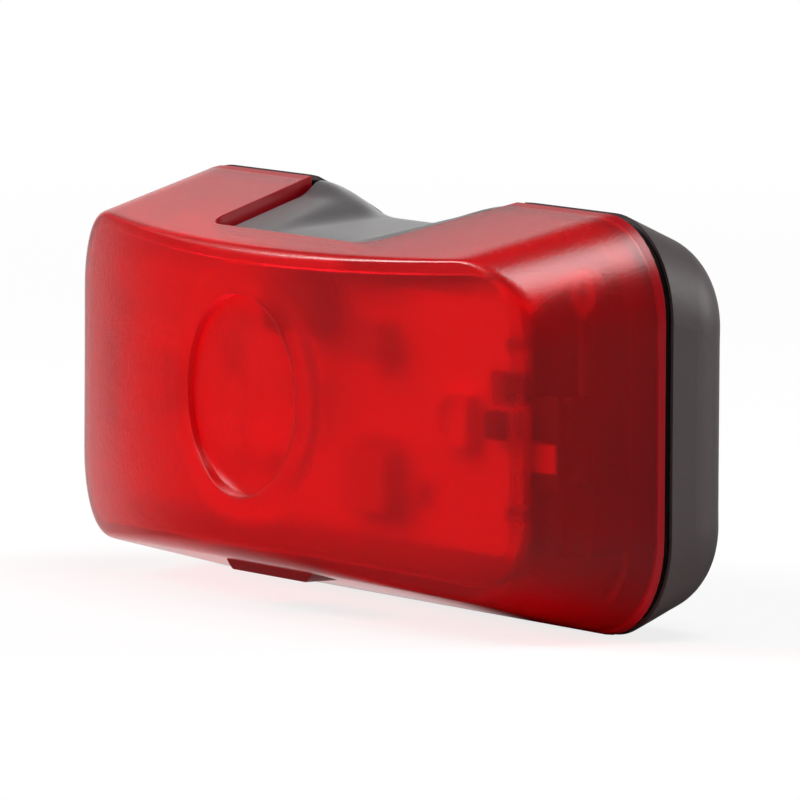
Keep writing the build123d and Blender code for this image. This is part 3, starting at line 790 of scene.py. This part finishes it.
# %% Coil and the end that turns with the clip
coil_path = [spring_point(pi + COIL_STEP * k) for k in range(COIL_POINTS)]
coil_path.insert(0, coil_path[0] + Vector((0, 0, SPRING_END)))
coil = wire_piece("clip_spring_coil", coil_path, SPRING_WIRE, "case")
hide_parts("clip_spring")
end_path = [spring_point(SPRING_LAST + END_STEP * (k - END_STEPS)) for k in range(END_STEPS + 1)]
end_path.append(end_path[-1] + Vector((0, 0, SPRING_END)))
wire_piece("clip_spring_end", end_path, SPRING_WIRE - 0.01, "clip")

# %% [markdown]
# ## Floor, world and lamps
#
# The photograph is a product shot on white: a broad lamp above with a smaller one in it for the glint on
# the lens's corner, a key lamp from the front left, a weaker one behind, and nothing bright on the right,
# where the lens's side stays deep red. The background is white to the camera by its colour alone. In
# reflections a white backdrop stands behind the light, seen from the camera's side, and the rest of the
# room is dark, so the red isn't veiled. The floor keeps the object's shadow.

# %% Where the white backdrop stands, seen from the light
backdrop_way = Vector((-0.8, 0.58, -0.2)).normalized()
BACKDROP_EDGE_COSINE = 0.72


def backdrop_share(tree, direction):
    """Factor that is 1 towards the backdrop and near 0 towards the dark room, from a direction socket."""
    level = add_node(tree, "ShaderNodeVectorMath", operation="NORMALIZE")
    facing = add_node(tree, "ShaderNodeVectorMath", operation="DOT_PRODUCT")
    facing.inputs[1].default_value = backdrop_way
    fade = add_node(tree, "ShaderNodeMapRange", interpolation_type="SMOOTHSTEP")
    fade.inputs["From Min"].default_value = BACKDROP_EDGE_COSINE
    fade.inputs["From Max"].default_value = 1.0
    tree.links.new(direction, level.inputs[0])
    tree.links.new(level.outputs["Vector"], facing.inputs[0])
    tree.links.new(facing.outputs["Value"], fade.inputs["Value"])
    return fade.outputs["Result"]


def seen_white(tree, direction):
    """Factor that is 1 for camera rays, and the backdrop's share for glossy and transmission rays."""
    rays = add_node(tree, "ShaderNodeLightPath")
    mirrored = add_node(tree, "ShaderNodeMath", operation="MAXIMUM")
    shared = add_node(tree, "ShaderNodeMath", operation="MULTIPLY")
    seen = add_node(tree, "ShaderNodeMath", operation="MAXIMUM")
    tree.links.new(rays.outputs["Is Glossy Ray"], mirrored.inputs[0])
    tree.links.new(rays.outputs["Is Transmission Ray"], mirrored.inputs[1])
    tree.links.new(mirrored.outputs[0], shared.inputs[0])
    tree.links.new(backdrop_share(tree, direction), shared.inputs[1])
    tree.links.new(rays.outputs["Is Camera Ray"], seen.inputs[0])
    tree.links.new(shared.outputs[0], seen.inputs[1])
    return seen.outputs[0]


# %% Floor
# In metres: half the floor's side, and the ring over which its plain white takes over from the shaded paper.
FLOOR_REACH = 8
NEAR_FLOOR = 0.05
FAR_FLOOR = 0.4
NEAR_SHARE = 0.8
REFLECTED_FROM = (0.02, -0.02, 0)
floor_z = -HALF_HEIGHT * MM
floor_mesh = bpy.data.meshes.new("floor")
floor_corners = [(x * FLOOR_REACH, y * FLOOR_REACH, floor_z) for x, y in ((-1, -1), (1, -1), (1, 1), (-1, 1))]
floor_mesh.from_pydata(floor_corners, [], [(0, 1, 2, 3)])
floor = bpy.data.objects.new("floor", floor_mesh)
bpy.context.scene.collection.objects.link(floor)
paper = finish(
    "white_paper", (0.93, 0.93, 0.93), 0.85, grain_mm=0.5, bump_mm=0.005, mottle=0.01, Specular_IOR_Level=0.0
)
sheet = paper.node_tree
paper_place = add_node(sheet, "ShaderNodeTexCoord")
paper_white = add_node(sheet, "ShaderNodeEmission", Strength=1.0)
paper_from = add_node(sheet, "ShaderNodeVectorMath", operation="SUBTRACT")
paper_from.inputs[1].default_value = REFLECTED_FROM
sheet.links.new(paper_place.outputs["Object"], paper_from.inputs[0])
paper_reach = add_node(sheet, "ShaderNodeVectorMath", operation="LENGTH")
paper_far = add_node(sheet, "ShaderNodeMapRange", interpolation_type="SMOOTHSTEP")
paper_far.inputs["From Min"].default_value = NEAR_FLOOR
paper_far.inputs["From Max"].default_value = FAR_FLOOR
paper_far.inputs["To Min"].default_value = NEAR_SHARE
paper_share = add_node(sheet, "ShaderNodeMath", operation="MULTIPLY")
sheet.links.new(paper_place.outputs["Object"], paper_reach.inputs[0])
sheet.links.new(paper_reach.outputs["Value"], paper_far.inputs["Value"])
sheet.links.new(paper_far.outputs["Result"], paper_share.inputs[1])
# For glossy rays that look away from the backdrop, the paper's colour is painted near black: a painted dark
# reflection, so the floor under the light reflects as shade.
paper_rays = add_node(sheet, "ShaderNodeLightPath")
paper_away = add_node(sheet, "ShaderNodeMath", operation="SUBTRACT")
paper_away.inputs[0].default_value = 1.0
painted_reflection_mask = add_node(sheet, "ShaderNodeMath", operation="MULTIPLY")
paper_painted_dark_reflection = add_node(sheet, "ShaderNodeMix", data_type="RGBA")
paper_painted_dark_reflection.inputs["B"].default_value = (0.02, 0.02, 0.02, 1)
sheet.links.new(backdrop_share(sheet, paper_from.outputs["Vector"]), paper_away.inputs[1])
sheet.links.new(paper_away.outputs[0], painted_reflection_mask.inputs[0])
sheet.links.new(paper_rays.outputs["Is Glossy Ray"], painted_reflection_mask.inputs[1])
sheet.links.new(painted_reflection_mask.outputs[0], paper_painted_dark_reflection.inputs["Factor"])
paper_shader = sheet.nodes["Principled BSDF"]
paper_tint = paper_shader.inputs["Base Color"].links[0].from_socket
sheet.links.new(paper_tint, paper_painted_dark_reflection.inputs["A"])
sheet.links.new(paper_painted_dark_reflection.outputs["Result"], paper_shader.inputs["Base Color"])
paper_mix = add_node(sheet, "ShaderNodeMixShader")
sheet.links.new(seen_white(sheet, paper_from.outputs["Vector"]), paper_share.inputs[0])
sheet.links.new(paper_share.outputs[0], paper_mix.inputs["Fac"])
sheet.links.new(paper_shader.outputs["BSDF"], paper_mix.inputs[1])
sheet.links.new(paper_white.outputs["Emission"], paper_mix.inputs[2])
sheet.links.new(paper_mix.outputs["Shader"], sheet.nodes["Material Output"].inputs["Surface"])
floor_mesh.materials.append(paper)

# %% World
DARK_ROOM = 0.04
BRIGHT_ROOM = 0.8
world = bpy.data.worlds.new("studio")
bpy.context.scene.world = world
world.use_nodes = True
sky = world.node_tree
room = sky.nodes["Background"]
room.inputs["Color"].default_value = (1.0, 1.0, 1.0, 1)
white = add_node(sky, "ShaderNodeBackground", Strength=1.0)
sky_place = add_node(sky, "ShaderNodeTexCoord")
room_light = add_node(sky, "ShaderNodeMapRange")
room_light.inputs["To Min"].default_value = DARK_ROOM
room_light.inputs["To Max"].default_value = BRIGHT_ROOM
sky_mix = add_node(sky, "ShaderNodeMixShader")
sky.links.new(backdrop_share(sky, sky_place.outputs["Generated"]), room_light.inputs["Value"])
sky.links.new(room_light.outputs["Result"], room.inputs["Strength"])
sky.links.new(seen_white(sky, sky_place.outputs["Generated"]), sky_mix.inputs["Fac"])
sky.links.new(room.outputs["Background"], sky_mix.inputs[1])
sky.links.new(white.outputs["Background"], sky_mix.inputs[2])
sky.links.new(sky_mix.outputs["Shader"], sky.nodes["World Output"].inputs["Surface"])


# %% Lamps
def softbox(name, place_mm, size_mm, power):
    """Square area lamp that faces the light's middle."""
    lamp = bpy.data.lights.new(name, "AREA")
    lamp.shape = "SQUARE"
    lamp.size = size_mm * MM
    lamp.energy = power
    box = bpy.data.objects.new(name, lamp)
    bpy.context.scene.collection.objects.link(box)
    box.location = Vector(place_mm) * MM
    aim = target - box.location
    box.rotation_euler = aim.to_track_quat("-Z", "Y").to_euler()
    return box


softbox("lamp_above", (115, 50, 500), 320, 1.35)
softbox("lamp_glint", (125, 45, 520), 200, 0.35)
softbox("lamp_key", (-330, -350, 320), 260, 2.6)
softbox("lamp_rear", (230, 520, 220), 260, 1.5)

# %% [markdown]
# ## Finish
#
# The render shows colours as they are, with the Standard view transform.

bpy.context.scene.view_settings.view_transform = "Standard"
